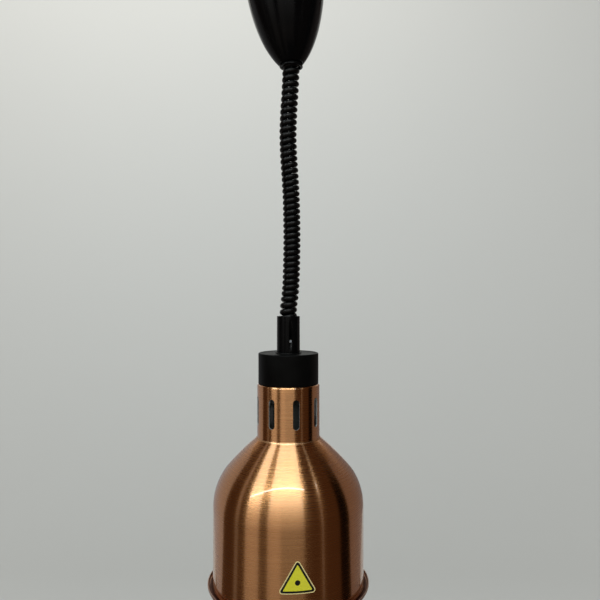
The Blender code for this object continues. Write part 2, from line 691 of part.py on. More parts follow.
def shade():
    body = turned(
        "shade", sheet(shade_middle(), SHEET), copper, lamp_pivot, (LAMP_X, 0, 0), 36,
    )
    for pair in range(SLOT_COUNT // 2):
        azimuth = SLOT_FIRST + math.tau * pair / SLOT_COUNT
        shape(body, slot_tool(f"slot_tool_{pair + 1}", azimuth), "DIFFERENCE")
    for side, word in ((-1, "left"), (1, "right")):
        at = (LAMP_X + side * CLAMP_SCREW_X, 0, NECK_TOP_Z)
        drill(body, f"flange_hole_{word}", at, (0, 0, 1), 0.002, 0.006)
    side = max(radius for radius, height in shade_middle() if height > SHADE_FOOT_Z + 0.002)
    label(side + SHEET / 2 + GAP)


def label(radius):
    """A thin sticker, a triangle with rounded corners, bent round the shade's side."""
    columns = 16
    corner = 0.0025
    half = LABEL_WIDTH / 2
    bm = bmesh.new()
    rows = []
    for column in range(columns + 1):
        across = -half + LABEL_WIDTH * column / columns
        edge = min(1.0, (half - abs(across)) / corner)
        low = -LABEL_HEIGHT / 2 + corner * (1 - math.sqrt(max(0.0, 1 - (1 - edge) ** 2))) * 0.8
        high = LABEL_HEIGHT / 2 - (LABEL_HEIGHT - 0.0022) * max(0.0, abs(across) - 0.0004) / (half - 0.0004)
        ring = []
        for level, reach in ((low, 0), (high, 0), (high, 0.00025), (low, 0.00025)):
            angle = LABEL_AZIMUTH + across / radius
            out = radius + reach
            ring.append(bm.verts.new((out * math.sin(angle), -out * math.cos(angle), level)))
        rows.append(ring)
    for here, there in zip(rows, rows[1:]):
        for index in range(4):
            after = (index + 1) % 4
            bm.faces.new((here[index], here[after], there[after], there[index]))
    bm.faces.new(rows[0])
    bm.faces.new(rows[-1])
    add("label", bm, yellow, lamp_pivot, (LAMP_X, 0, LABEL_MIDDLE_Z))


def bulb():
    """A reflector bulb: glass envelope, screw cap with its contact, and the filament on its stem."""
    at = (LAMP_X, 0, 0)
    envelope = [(0.0114, -0.5282), (0.0114, -0.5370)] + smooth_curve(
        [
            (0.0135, -0.5420), (0.0180, -0.5520), (0.0210, -0.5650), (0.0300, -0.5850), (0.0440, -0.6070),
            (0.0560, -0.6260), (0.0612, -0.6400), (BULB_RADIUS - 0.0005, -0.6510), (0.0605, -0.6610),
            (0.0530, -0.6695), (0.0370, -0.6752), (0.0190, -0.6775), (0, BULB_FACE_Z + 0.0005),
        ], 1,
    )
    turned("bulb_glass", sheet(envelope, 0.0010), glass, bulb_pivot, at, 28)
    turned(
        "bulb_cap",
        [
            (0.0090, -0.5164), (0.0122, -0.5164), (0.0130, -0.5172), (0.0130, -0.5362), (0.0124, -0.5362),
            (0.0124, -0.5176), (0.0090, -0.5170),
        ],
        aluminium, bulb_pivot, at, 24,
    )
    turned(
        "bulb_insulator", [(0, -0.5117), (0.0042, -0.5117), (0.0100, -0.5161), (0, -0.5161)],
        black_plastic, bulb_pivot, at, 16,
    )
    turned(
        "bulb_contact", [(0, -0.5094), (0.0028, -0.5100), (0.0040, -0.5114), (0, -0.5114)],
        brass, bulb_pivot, at, 12,
    )
    turned(
        "filament_stem",
        [
            (0, -0.5290), (0.0102, -0.5290), (0.0102, -0.5302), (0.0045, -0.5400), (0.0032, -0.5750),
            (0, -0.5760),
        ],
        glass, bulb_pivot, at, 12,
    )
    loop = [(-0.0022, 0, -0.5765), (-0.0120, 0, -0.5900)]
    for step in range(9):
        angle = math.pi * step / 8
        loop.append((-0.0140 * math.cos(angle), -0.0140 * math.sin(angle), -0.5930))
    loop += [(0.0120, 0, -0.5900), (0.0022, 0, -0.5765)]
    rod("filament", [(LAMP_X + x, y, z) for x, y, z in loop], 0.0005, tungsten, bulb_pivot)


ceiling_bracket()
reel_frame()
reel()
reel_spring()
wire_inside()
guide()
wiring_inside()
canopy()
cord_and_wire()
tube()
cap()
holder()
shade()
bulb()
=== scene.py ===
"""The heat lamp's looks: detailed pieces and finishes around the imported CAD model.

Metres, +Z up, the CAD model's own frame. The front is -Y.
"""

import json
import math

import bmesh
import bpy
import numpy as np
from mathutils import Matrix, Vector


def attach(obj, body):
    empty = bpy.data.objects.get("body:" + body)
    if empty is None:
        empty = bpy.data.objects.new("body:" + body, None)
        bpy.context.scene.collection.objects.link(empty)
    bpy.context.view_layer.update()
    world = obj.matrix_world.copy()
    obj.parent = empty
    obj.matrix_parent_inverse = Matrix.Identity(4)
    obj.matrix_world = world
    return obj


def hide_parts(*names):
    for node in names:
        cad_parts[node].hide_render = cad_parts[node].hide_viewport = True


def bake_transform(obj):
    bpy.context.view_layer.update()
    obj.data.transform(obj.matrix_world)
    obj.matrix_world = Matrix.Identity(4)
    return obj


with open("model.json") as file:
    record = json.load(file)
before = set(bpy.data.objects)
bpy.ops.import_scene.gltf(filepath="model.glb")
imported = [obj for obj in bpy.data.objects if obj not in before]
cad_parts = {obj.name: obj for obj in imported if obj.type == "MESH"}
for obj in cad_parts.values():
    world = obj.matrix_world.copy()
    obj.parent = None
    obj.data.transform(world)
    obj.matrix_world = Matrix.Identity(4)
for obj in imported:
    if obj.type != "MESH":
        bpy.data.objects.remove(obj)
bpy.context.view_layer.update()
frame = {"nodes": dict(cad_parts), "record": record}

# Dimensions that the CAD source holds too
GAP = 0.0003
LAMP_X = -0.003
LEAN = math.radians(4.5)
CANOPY_FOOT_Z = -0.1335
CANOPY_HEIGHT = 0.1285
CANOPY_RADIUS = 0.0433
CANOPY_WALL = 0.002
CANOPY_WIDE_AT = 0.1064
CANOPY_CURVE_HEIGHT = 0.1186
CANOPY_CURVE_WIDTH = 0.0535
TUBE_TOP_Z = -0.4036
TUBE_RADIUS = 0.0124
TUBE_BORE = 0.0103
CAP_TOP_Z = -0.4431
CAP_RADIUS = 0.0323
CAP_WALL = 0.0022
SHEET = 0.0010
NECK_TOP_Z = -0.4761
NECK_RADIUS = 0.0336
SHOULDER_Z = -0.5335
SHOULDER_START = math.radians(39.8)
SHOULDER_END = math.radians(49.3)
SHOULDER_ARC = 0.257
SIDE_ARC = 0.0652
SHADE_FOOT_Z = -0.6880
LIP_RISE = 0.0016
LIP_BEND = 0.00275
FLANGE_HOLE = 0.0180
SLOT_COUNT = 8
SLOT_FIRST = math.radians(-30)
SLOT_WIDTH = 0.0070
SLOT_HEIGHT = 0.0308
SLOT_MIDDLE_Z = -0.5043
COIL_RADIUS = 0.0094
CORD_RADIUS = 0.00305
WIRE_RADIUS = 0.0006
CORD_TOP_Z = -0.1303
CORD_FOOT_Z = -0.4277
BULB_RADIUS = 0.0625
BULB_FACE_Z = -0.6783
REEL_Y = 0.006
REEL_Z = -0.048
LABEL_AZIMUTH = math.radians(7.3)
LABEL_WIDTH = 0.035
CORD_ROUTE = [
    (0.0, CORD_TOP_Z), (-0.0002, -0.1400), (-0.0010, -0.1600), (-0.0023, -0.1800),
    (-0.0032, -0.2000), (-0.0033, -0.2150), (-0.0025, -0.2350), (-0.0010, -0.2570),
    (0.0001, -0.2790), (0.0006, -0.3000), (0.0008, -0.3190), (0.0006, -0.3400),
    (0.0002, -0.3560), (-0.0005, -0.3730), (-0.0014, -0.3830), (-0.0026, -0.3920),
    (-0.0031, -0.4000), (-0.0030, -0.4080), (LAMP_X, -0.4180), (LAMP_X, CORD_FOOT_Z),
]

# Dimensions of the visible pieces alone
SIDE_RADIUS = 0.0806  # of the shade's upright side, outside
LABEL_MIDDLE_Z = -0.6488
LABEL_HEIGHT = 0.0312
LABEL_CORNER = 0.0028
LABEL_DOT = 0.0026
TURNS = 46.5
COIL_MIDDLE = COIL_RADIUS - CORD_RADIUS
RINGS_A_TURN = 20
PITCHES = [  # height, and how far apart the turns are there, before they are scaled to fit TURNS
    (-0.1303, 6.9), (-0.1600, 7.0), (-0.2000, 6.7), (-0.2600, 6.3), (-0.3300, 6.15), (-0.3800, 6.2),
    (-0.3900, 6.9), (-0.3990, 6.6), (-0.4100, 6.2), (-0.4277, 6.1),
]
WOUND_RADIUS = 0.0191  # of the wire on the reel, outside
WOUND_HALF = 0.0076
WOUND_BORE = 0.0175
WOUND_TURNS = 11.5


# Mesh helpers

def add_piece(name, bm, materials, sharp=35):
    """Links a bmesh as a smooth shaded object whose edges over an angle in degrees stay sharp."""
    mesh = bpy.data.meshes.new(name)
    bm.to_mesh(mesh)
    bm.free()
    mesh.shade_smooth()
    mesh.set_sharp_from_angle(angle=math.radians(sharp))
    for material in materials:
        mesh.materials.append(material)
    piece = bpy.data.objects.new(name, mesh)
    bpy.context.collection.objects.link(piece)
    return piece


def arc(centre, radius, start, end, steps):
    """Points on a circle in the (radius, height) plane, angles in degrees from the outward direction."""
    points = []
    for step in range(steps + 1):
        angle = math.radians(start + (end - start) * step / steps)
        points.append((centre[0] + radius * math.cos(angle), centre[1] + radius * math.sin(angle)))
    return points


def smooth_curve(points, steps):
    """A Catmull-Rom curve through the points, with steps pieces between neighbours."""
    ends = [points[0], *points, points[-1]]
    made = []
    for a, b, c, d in zip(ends, ends[1:], ends[2:], ends[3:]):
        for step in range(steps):
            t = step / steps
            made.append(tuple(
                0.5 * (2 * q + (r - p) * t + (2 * p - 5 * q + 4 * r - s) * t * t
                       + (3 * q - p - 3 * r + s) * t ** 3)
                for p, q, r, s in zip(a, b, c, d)
            ))
    return [*made, tuple(points[-1])]


def two_sides(middle, thickness):
    """The two faces of a sheet whose middle line runs through (radius, height) points."""
    sides = ([], [])
    for index, point in enumerate(middle):
        here = Vector(point)
        before = (here - Vector(middle[index - 1])).normalized() if index else None
        after = (Vector(middle[index + 1]) - here).normalized() if index + 1 < len(middle) else None
        along = ((before or after) + (after or before)).normalized()
        across = Vector((-along.y, along.x))
        if point[0] == 0:
            across = Vector((0, math.copysign(1, across.y)))
        sides[0].append(tuple(here + across * thickness / 2))
        sides[1].append(tuple(here - across * thickness / 2))
    return sides


def lathe(outline, segments):
    """A closed (radius, height) outline turned round Z."""
    bm = bmesh.new()
    corners = [bm.verts.new((radius, 0, height)) for radius, height in outline]
    for here, there in zip(corners, corners[1:] + corners[:1]):
        if abs(here.co.x) + abs(there.co.x) > 1e-7:
            bm.edges.new((here, there))
    bmesh.ops.spin(
        bm, geom=bm.verts[:] + bm.edges[:], cent=(0, 0, 0), axis=(0, 0, 1),
        angle=math.tau, steps=segments, use_merge=True,
    )
    bmesh.ops.remove_doubles(bm, verts=bm.verts, dist=1e-7)
    bmesh.ops.recalc_face_normals(bm, faces=bm.faces)
    return bm


def rounded(outline, steps):
    """The closed outline of (point, corner radius) pairs, with its corners rounded."""
    made = []
    count = len(outline)
    for index, (here, reach) in enumerate(outline):
        if reach == 0:
            made.append(here)
            continue
        corner = Vector(here)
        before = Vector(outline[index - 1][0]) - corner
        after = Vector(outline[(index + 1) % count][0]) - corner
        cut = min(reach, before.length * 0.45, after.length * 0.45)
        start = corner + before.normalized() * cut
        end = corner + after.normalized() * cut
        for step in range(steps + 1):
            t = step / steps
            point = start * (1 - t) ** 2 + corner * 2 * t * (1 - t) + end * t * t
            made.append((point.x, point.y))
    return made


def tube_along(points, radius, sides):
    """A round bar along 3-D points, one ring a point, with no twist between rings."""
    bm = bmesh.new()
    rings = []
    across = None
    for index, point in enumerate(points):
        before = points[max(index - 1, 0)]
        after = points[min(index + 1, len(points) - 1)]
        along = (Vector(after) - Vector(before)).normalized()
        if across is None:
            across = along.orthogonal().normalized()
        across = (across - along * across.dot(along)).normalized()
        up = along.cross(across)
        ring = []
        for side in range(sides):
            angle = math.tau * side / sides
            outward = across * math.cos(angle) + up * math.sin(angle)
            ring.append(bm.verts.new(Vector(point) + outward * radius))
        rings.append(ring)
    for here, there in zip(rings, rings[1:]):
        for side in range(sides):
            after = (side + 1) % sides
            bm.faces.new((here[side], here[after], there[after], there[side]))
    bm.faces.new(rings[0][::-1])
    bm.faces.new(rings[-1])
    bmesh.ops.recalc_face_normals(bm, faces=bm.faces)
    return bm


def cut(piece, tools):
    """Subtracts the tools from the piece, as one mesh, and removes them."""
    bpy.context.view_layer.update()
    for tool in tools:
        modifier = piece.modifiers.new("cut", "BOOLEAN")
        modifier.operation = "DIFFERENCE"
        modifier.object = tool
        modifier.solver = "EXACT"
    graph = bpy.context.evaluated_depsgraph_get()
    mesh = bpy.data.meshes.new_from_object(piece.evaluated_get(graph))
    piece.modifiers.clear()
    piece.data = mesh
    for tool in tools:
        bpy.data.objects.remove(tool, do_unlink=True)
    return piece


def moved(bm, matrix):
    bmesh.ops.transform(bm, matrix=matrix, verts=bm.verts)
    return bm


AT_LAMP = Matrix.Translation((LAMP_X, 0, 0))


# Materials

class Finish:
    """A material and its Principled shader, with helpers that wire up patterns."""

    def __init__(self, name, colour, metallic=0.0, roughness=0.5, **values):
        self.material = bpy.data.materials.new(name)
        self.material.use_nodes = True
        self.tree = self.material.node_tree
        self.shader = self.tree.nodes["Principled BSDF"]
        self.set("Base Color", (*colour, 1.0))
        self.set("Metallic", metallic)
        self.set("Roughness", roughness)
        for socket, value in values.items():
            self.set(socket.replace("_", " "), value)
        self.place = self.node("ShaderNodeTexCoord").outputs["Object"]

    def set(self, socket, value):
        self.shader.inputs[socket].default_value = value

    def node(self, kind, **settings):
        made = self.tree.nodes.new(kind)
        for key, value in settings.items():
            setattr(made, key, value)
        return made

    def link(self, source, target):
        self.tree.links.new(source, target)

    def noise(self, scale, detail=3.0, stretch=(1, 1, 1)):
        """Noise of about 1/scale metres, squeezed along each axis by stretch."""
        mapping = self.node("ShaderNodeMapping")
        mapping.inputs["Scale"].default_value = tuple(scale * s for s in stretch)
        self.link(self.place, mapping.inputs["Vector"])
        made = self.node("ShaderNodeTexNoise")
        made.inputs["Scale"].default_value = 1.0
        made.inputs["Detail"].default_value = detail
        made.inputs["Roughness"].default_value = 0.55
        self.link(mapping.outputs["Vector"], made.inputs["Vector"])
        return made.outputs["Fac"]

    def ramp(self, source, low, high, start=0.0, end=1.0):
        """The source mapped from low..high to start..end, clamped."""
        made = self.node("ShaderNodeMapRange")
        made.inputs["From Min"].default_value = low
        made.inputs["From Max"].default_value = high
        made.inputs["To Min"].default_value = start
        made.inputs["To Max"].default_value = end
        self.link(source, made.inputs["Value"])
        return made.outputs["Result"]

    def math(self, operation, a, b):
        made = self.node("ShaderNodeMath", operation=operation)
        for socket, value in zip(made.inputs, (a, b)):
            if isinstance(value, (int, float)):
                socket.default_value = value
            else:
                self.link(value, socket)
        return made.outputs[0]

    def blend(self, factor, first, second):
        """A colour between two, each a colour or a socket."""
        made = self.node("ShaderNodeMix", data_type="RGBA")
        self.link(factor, made.inputs[0])
        for socket, value in ((made.inputs[6], first), (made.inputs[7], second)):
            if isinstance(value, tuple):
                socket.default_value = (*value, 1.0)
            else:
                self.link(value, socket)
        return made.outputs[2]

    def paint(self, source):
        self.link(source, self.shader.inputs["Base Color"])

    def rough(self, source):
        self.link(source, self.shader.inputs["Roughness"])

    def bump(self, *layers):
        """Each layer is (height source, depth in metres)."""
        normal = None
        for source, depth in layers:
            made = self.node("ShaderNodeBump")
            made.inputs["Strength"].default_value = 1.0
            made.inputs["Distance"].default_value = depth
            self.link(source, made.inputs["Height"])
            if normal is not None:
                self.link(normal, made.inputs["Normal"])
            normal = made.outputs["Normal"]
        self.link(normal, self.shader.inputs["Normal"])


def brushed_copper():
    """Lacquered copper plate, brushed round the axis, so that reflections smear up and down."""
    made = Finish(
        "copper_brushed", (0.82, 0.36, 0.13), 1.0, 0.26,
        Anisotropic=0.92, Anisotropic_Rotation=0.25, Coat_Weight=1.0, Coat_Roughness=0.03, Coat_IOR=1.5,
    )
    tangent = made.node("ShaderNodeTangent", direction_type="RADIAL", axis="Z")
    made.link(tangent.outputs["Tangent"], made.shader.inputs["Tangent"])
    lines = made.noise(2400, 2.0, (0.004, 0.004, 1))
    bands = made.noise(700, 3.0, (0.010, 0.010, 1))
    cloud = made.noise(26, 4.0)
    waves = made.noise(240, 2.0, (0.012, 0.012, 1))
    tone = made.ramp(made.math("ADD", lines, bands), 0.75, 1.25)
    plain = made.blend(tone, (0.775, 0.33, 0.115), (0.86, 0.385, 0.145))
    made.paint(made.blend(made.ramp(cloud, 0.45, 0.75), plain, (0.77, 0.34, 0.125)))
    fine = made.ramp(lines, 0.25, 0.75, 0.235, 0.285)
    made.rough(made.math("ADD", fine, made.ramp(cloud, 0.35, 0.7, 0.0, 0.02)))
    made.bump((waves, 0.0000005))
    return made.material


def inner_aluminium():
    made = Finish("shade_inside", (0.62, 0.62, 0.60), 0.7, 0.42, Anisotropic=0.5, Anisotropic_Rotation=0.25)
    tangent = made.node("ShaderNodeTangent", direction_type="RADIAL", axis="Z")
    made.link(tangent.outputs["Tangent"], made.shader.inputs["Tangent"])
    lines = made.noise(900, 2.0, (0.02, 0.02, 1))
    cloud = made.noise(35, 4.0)
    made.paint(made.blend(made.ramp(cloud, 0.3, 0.7), (0.52, 0.52, 0.50), (0.70, 0.70, 0.68)))
    made.rough(made.ramp(lines, 0.3, 0.7, 0.34, 0.52))
    made.bump((lines, 0.000015))
    return made.material


WARM = (1.0, 0.84, 0.72, 1.0)


def gloss_black():
    made = Finish(
        "gloss_black", (0.0016, 0.0016, 0.0018), 0.0, 0.16, Specular_IOR_Level=0.12, Specular_Tint=WARM,
    )
    smear = made.noise(60, 5.0, (1, 1, 0.5))
    specks = made.noise(1400, 1.0)
    made.paint(made.blend(made.ramp(specks, 0.74, 0.80), (0.0016, 0.0016, 0.0018), (0.05, 0.05, 0.05)))
    made.rough(made.ramp(smear, 0.3, 0.75, 0.14, 0.30))
    made.bump((made.noise(420, 2.0), 0.000012), (made.noise(70, 2.0), 0.00008))
    return made.material


def satin_black():
    made = Finish(
        "satin_black", (0.004, 0.004, 0.004), 0.0, 0.45, Specular_IOR_Level=0.08, Specular_Tint=WARM,
    )
    grain = made.noise(2600, 2.0)
    smear = made.noise(55, 5.0)
    made.paint(made.blend(made.ramp(smear, 0.35, 0.75), (0.0014, 0.0014, 0.0014), (0.003, 0.003, 0.0028)))
    made.rough(made.ramp(made.math("ADD", grain, smear), 0.7, 1.3, 0.34, 0.52))
    made.bump((grain, 0.00003))
    return made.material


def flex_black():
    made = Finish(
        "flex_black", (0.0016, 0.0016, 0.0018), 0.0, 0.2, Specular_IOR_Level=0.22, Specular_Tint=WARM,
    )
    dust = made.noise(700, 2.0)
    smear = made.noise(90, 3.0)
    made.paint(made.blend(made.ramp(dust, 0.70, 0.78), (0.0018, 0.0018, 0.002), (0.08, 0.08, 0.08)))
    made.rough(made.ramp(smear, 0.3, 0.7, 0.22, 0.38))
    made.bump((made.noise(1500, 2.0), 0.000015))
    return made.material


def vinyl(name, colour, roughness=0.35):
    made = Finish(name, colour, 0.0, roughness)
    ink = made.noise(2200, 2.0)
    darker = tuple(c * 0.86 for c in colour)
    made.paint(made.blend(made.ramp(ink, 0.35, 0.7), colour, darker))
    made.rough(made.ramp(made.noise(120, 3.0), 0.3, 0.7, roughness - 0.06, roughness + 0.08))
    made.bump((made.noise(500, 2.0), 0.00001))
    return made.material


def plated(name, colour, roughness, stretch=(1, 1, 1), stain=0.75):
    """Plated or bare metal with fine scratches and clouded patches."""
    made = Finish(name, colour, 1.0, roughness)
    scratch = made.noise(1800, 2.0, stretch)
    cloud = made.noise(130, 4.0)
    dull = tuple(c * stain for c in colour)
    made.paint(made.blend(made.ramp(cloud, 0.35, 0.7), colour, dull))
    made.rough(made.ramp(made.math("ADD", scratch, cloud), 0.7, 1.3, roughness - 0.08, roughness + 0.12))
    made.bump((scratch, 0.00001))
    return made.material


def moulded(name, colour, roughness, grain_depth=0.00002):
    """Moulded plastic or ceramic with a fine grain and a soft variation in tone."""
    made = Finish(name, colour, 0.0, roughness)
    grain = made.noise(1600, 2.0)
    cloud = made.noise(80, 4.0)
    darker = tuple(c * 0.84 for c in colour)
    made.paint(made.blend(made.ramp(cloud, 0.35, 0.7), colour, darker))
    made.rough(made.ramp(cloud, 0.3, 0.7, roughness - 0.07, roughness + 0.08))
    made.bump((grain, grain_depth))
    return made.material


def frosted_glass():
    made = Finish("bulb_frosted", (0.93, 0.93, 0.91), 0.0, 0.42, Transmission_Weight=0.35, IOR=1.45)
    grain = made.noise(2400, 2.0)
    made.paint(made.blend(made.ramp(made.noise(60, 3.0), 0.3, 0.7), (0.93, 0.93, 0.91), (0.86, 0.86, 0.84)))
    made.rough(made.ramp(grain, 0.3, 0.7, 0.36, 0.50))
    made.bump((grain, 0.00001))
    return made.material


def silvered_glass():
    made = Finish("bulb_silvered", (0.86, 0.86, 0.85), 1.0, 0.12, Coat_Weight=0.5, Coat_Roughness=0.05)
    cloud = made.noise(50, 4.0)
    made.paint(made.blend(made.ramp(cloud, 0.35, 0.7), (0.88, 0.88, 0.87), (0.74, 0.74, 0.73)))
    made.rough(made.ramp(cloud, 0.3, 0.7, 0.07, 0.20))
    made.bump((made.noise(120, 2.0), 0.00006))
    return made.material


def clear_glass():
    made = Finish("bulb_clear", (0.95, 0.96, 0.95), 0.0, 0.05, Transmission_Weight=1.0, IOR=1.45)
    made.rough(made.ramp(made.noise(90, 3.0), 0.3, 0.7, 0.03, 0.10))
    made.bump((made.noise(200, 2.0), 0.00003))
    return made.material


COPPER = brushed_copper()
INSIDE = inner_aluminium()
GLOSS = gloss_black()
SATIN = satin_black()
FLEX = flex_black()
STEEL = plated("zinc_plate", (0.60, 0.61, 0.62), 0.34)
# A paler, rougher copper for the lip: its pale tone is a painted reflection of the pale wall on the rim.
LIP = plated("lip_painted_reflection", (0.62, 0.42, 0.32), 0.36, (0.05, 0.05, 1))
# Near black copper in the lip's gutter: painted shade.
GUTTER_SHADE = plated("gutter_painted_shade", (0.085, 0.030, 0.018), 0.40, (0.05, 0.05, 1))
# A paler copper ring on the bend below the neck: a painted highlight.
BEND_HIGHLIGHT = plated("bend_painted_highlight", (0.88, 0.47, 0.22), 0.28, (0.05, 0.05, 1), 0.9)
RAW_EDGE = moulded("raw_edge", (0.40, 0.385, 0.35), 0.5, 0.00001)
DULL_WIRE = plated("dull_wire", (0.04, 0.04, 0.042), 0.5)
BLUED = plated("blued_steel", (0.22, 0.24, 0.29), 0.30)
BRASS = plated("plain_brass", (0.74, 0.55, 0.25), 0.30)
ALUMINIUM = plated("plain_aluminium", (0.78, 0.79, 0.80), 0.30, (0.05, 0.05, 1))
TUNGSTEN = plated("drawn_tungsten", (0.30, 0.30, 0.30), 0.45)
NYLON = moulded("natural_nylon", (0.74, 0.72, 0.66), 0.45)
PLASTIC = moulded("black_plastic", (0.022, 0.022, 0.022), 0.40)
# The lamp holder is made near black, which keeps the slots in the neck dark.
PORCELAIN = moulded("near_black_holder", (0.065, 0.062, 0.052), 0.22, 0.00001)
FROSTED = frosted_glass()
SILVERED = silvered_glass()
CLEAR = clear_glass()


# The cord first: its coil, then the wire inside it

def cord_middle():
    """The coil's centreline: right-handed, from its top at the left to its foot at the right."""
    route = [Vector((x, 0, z)) for x, z in smooth_curve(CORD_ROUTE, 12)]
    lengths = np.array([0.0] + [(b - a).length for a, b in zip(route, route[1:])]).cumsum()
    heights = np.array([p.z for p in route])
    sides = np.array([p.x for p in route])
    pitch = np.interp(-heights, [-z for z, p in PITCHES], [p for z, p in PITCHES])
    rate = 1 / pitch
    turned = np.concatenate([[0], ((rate[1:] + rate[:-1]) / 2 * np.diff(lengths)).cumsum()])
    turned *= TURNS / turned[-1]
    count = int(TURNS * RINGS_A_TURN)
    points, shares = [], []
    for index in range(count + 1):
        turn = TURNS * index / count
        along = np.interp(turn, turned, lengths)
        x = np.interp(along, lengths, sides)
        z = np.interp(along, lengths, heights)
        ahead = min(along + 0.0005, lengths[-1])
        behind = max(along - 0.0005, 0)
        lean = np.interp(ahead, lengths, sides) - np.interp(behind, lengths, sides)
        drop = np.interp(ahead, lengths, heights) - np.interp(behind, lengths, heights)
        down = Vector((lean, 0, drop)).normalized()
        right = Vector((0, 1, 0)).cross(-down).normalized()
        angle = math.pi - math.tau * turn
        out = right * math.cos(angle) + Vector((0, 1, 0)) * math.sin(angle)
        points.append(Vector((x, 0, z)) + out * COIL_MIDDLE)
        shares.append(along / lengths[-1])
    return points, shares


def curly_cord():
    points, shares = cord_middle()
    sides = 12
    bm = tube_along(points, CORD_RADIUS, sides)
    piece = add_piece("curly_flex", bm, [FLEX])
    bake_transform(piece)
    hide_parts("curly_cord")


curly_cord()


def suspension_wire():
    route = [(x, 0, z) for x, z in smooth_curve([*CORD_ROUTE, (LAMP_X, CORD_FOOT_Z - 0.0090)], 4)]
    sides = 10
    bm = tube_along(route, WIRE_RADIUS, sides)
    piece = add_piece("steel_wire", bm, [DULL_WIRE])
    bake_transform(piece)
    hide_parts("suspension_wire")


suspension_wire()


# The wire on the reel

def wound_wire():
    """The top layer of wire, turn by turn, over a ring that stands for the layers below it."""
    lie = WOUND_RADIUS - WIRE_RADIUS
    reach = WOUND_HALF - WIRE_RADIUS
    steps = int(WOUND_TURNS * 32)
    points = []
    for step in range(steps + 1):
        angle = math.tau * WOUND_TURNS * step / steps
        along = -reach + 2 * reach * step / steps
        points.append((along, REEL_Y + lie * math.cos(angle), REEL_Z + lie * math.sin(angle)))
    bm = tube_along(points, WIRE_RADIUS, 8)
    core = lathe([(WOUND_BORE, -reach), (WOUND_BORE, reach), (lie, reach), (lie, -reach)], 64)
    moved(core, Matrix.Translation((0, REEL_Y, REEL_Z)) @ Matrix.Rotation(math.pi / 2, 4, "Y"))
    below = bpy.data.meshes.new("below")
    core.to_mesh(below)
    core.free()
    bm.from_mesh(below)
    bpy.data.meshes.remove(below)
    piece = add_piece("wire_on_reel", bm, [STEEL])
    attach(piece, "reel")
    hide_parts("wound_wire")


wound_wire()


# The camera, almost level and a little above the tube's top

CAMERA_AT = (0.0095, -0.646, -0.381)
CAMERA_PITCH = math.radians(89.52)  # upright is 90


def make_camera():
    data = bpy.data.cameras.new("camera")
    data.sensor_width = 36
    data.lens = 36
    data.clip_start = 0.01
    camera = bpy.data.objects.new("camera", data)
    camera.location = CAMERA_AT
    camera.rotation_euler = (CAMERA_PITCH, 0, 0)
    bpy.context.collection.objects.link(camera)
    bpy.context.scene.camera = camera


make_camera()


# The black pieces

def canopy_radius(height):
    from_wide = max(0.0, CANOPY_WIDE_AT - height) / CANOPY_CURVE_HEIGHT
    return CANOPY_RADIUS - CANOPY_CURVE_WIDTH * (1 - math.sqrt(1 - from_wide ** 2))


def canopy():
    steps = 48
    outer = []
    for step in range(steps + 1):
        height = CANOPY_HEIGHT * (step / steps) ** 1.25
        outer.append((canopy_radius(height), height))
    inner = [(max(radius - CANOPY_WALL, 0.0121), height) for radius, height in outer[::-1]]
    soften = {0: 0.0006, steps: 0.0007, steps + 1: 0.0007, 2 * steps + 1: 0.0006}
    outline = rounded([(p, soften.get(i, 0)) for i, p in enumerate(outer + inner)], 4)
    bm = lathe(outline, 160)
    moved(bm, Matrix.Translation((0, 0, CANOPY_FOOT_Z)) @ Matrix.Rotation(-LEAN, 4, "Y"))
    piece = add_piece("canopy_cover", bm, [GLOSS])
    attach(piece, "canopy")
    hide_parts("canopy_shell")


def collar():
    outline = [
        ((0.0099, -0.1210), 0.0003), ((0.0113, -0.1210), 0.0003), ((0.0113, -0.1350), 0.0003),
        ((0.0120, -0.1350), 0.0004), ((0.0125, -0.1355), 0.0003), ((0.0125, -0.1367), 0.0003),
        ((0.0120, -0.1372), 0.0003), ((0.0103, -0.1372), 0.0004),
        ((0.0103, -0.1303), 0), ((0.0099, -0.1300), 0),
    ]
    piece = add_piece("collar_ring", lathe(rounded(outline, 4), 72), [GLOSS])
    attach(piece, "collar")
    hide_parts("outlet_collar")


def rod_tool(name, at, direction, radius, length):
    """A bar for cutting a hole, centred at a point."""
    bm = bmesh.new()
    bmesh.ops.create_cone(bm, cap_ends=True, segments=24, radius1=radius, radius2=radius, depth=length)
    turn = Vector(direction).to_track_quat("Z", "Y").to_matrix().to_4x4()
    moved(bm, Matrix.Translation(at) @ turn)
    return add_piece(name, bm, [])


def tube():
    bottom = CAP_TOP_Z - 0.012
    outline = [
        ((TUBE_BORE, TUBE_TOP_Z), 0.0004), ((TUBE_RADIUS - 0.0001, TUBE_TOP_Z), 0.0007),
        ((TUBE_RADIUS, CAP_TOP_Z + 0.0010), 0), ((TUBE_RADIUS, bottom), 0), ((TUBE_BORE, bottom), 0),
    ]
    bm = moved(lathe(rounded(outline, 5), 96), AT_LAMP)
    piece = add_piece("gloss_tube", bm, [GLOSS])
    azimuth = math.radians(12)
    outward = Vector((math.sin(azimuth), -math.cos(azimuth), 0))
    middle = Vector((LAMP_X, 0, CORD_FOOT_Z - 0.0023)) + outward * (TUBE_RADIUS + TUBE_BORE) / 2
    cut(piece, [rod_tool("screw_hole", middle, outward, 0.0017, 0.005)])
    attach(piece, "lamp")
    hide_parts("cord_tube")


